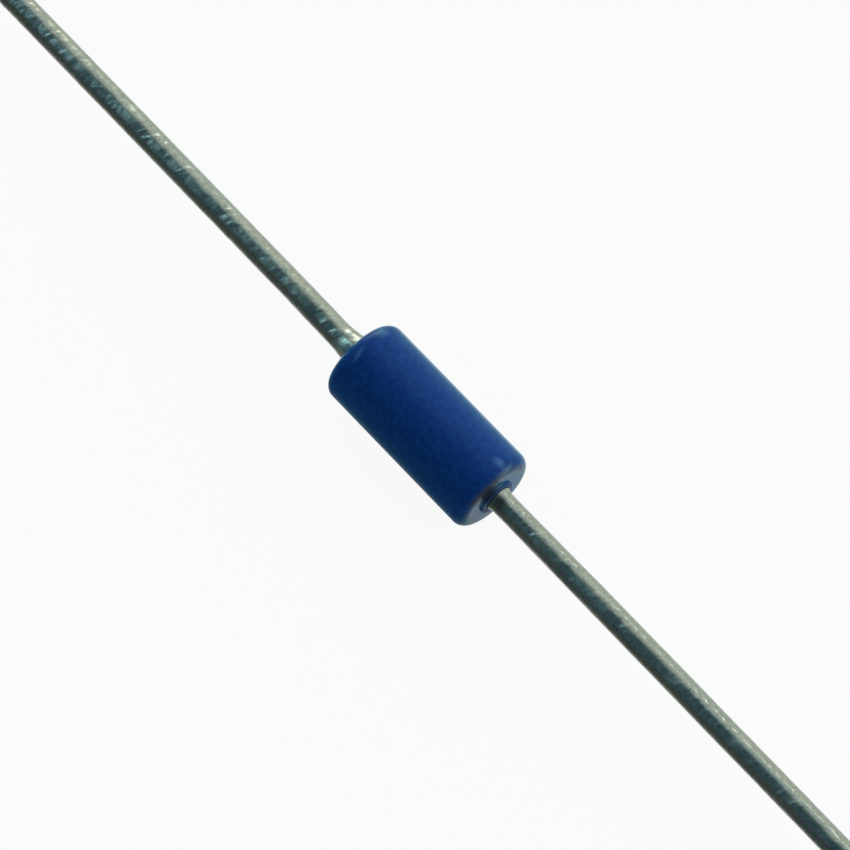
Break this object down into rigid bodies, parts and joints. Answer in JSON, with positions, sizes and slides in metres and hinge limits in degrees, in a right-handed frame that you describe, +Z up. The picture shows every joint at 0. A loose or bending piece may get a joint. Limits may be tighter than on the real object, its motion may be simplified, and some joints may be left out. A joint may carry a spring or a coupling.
{
  "type": "zener diode",
  "caption": "Axial zener diode: blue moulded cylindrical epoxy case with rounded rims, between two straight tinned copper wire leads.",
  "frame": {"origin": "centre of the case on the axis of the leads, which is also the centre of the whole part", "axes": "+X along the anode lead, -X along the cathode lead, +Z up when the diode lies on a surface"},
  "size_m": [0.0624, 0.003, 0.003],
  "materials": {
    "case": "blue moulded epoxy with a soft satin gloss",
    "lead": "tin-plated copper wire, fine hammered grain",
    "silicon": "dark lapped silicon with sawn edges",
    "solder": "dull high-lead solder",
    "silicone": "soft translucent silicone rubber"
  },
  "bodies": {
    "root": {"case": "case", "cathode_lead": "lead", "anode_lead": "lead", "chip": "silicon", "cathode_solder": "solder", "anode_solder": "solder", "junction_coating": "silicone"}
  },
  "joints": []
}
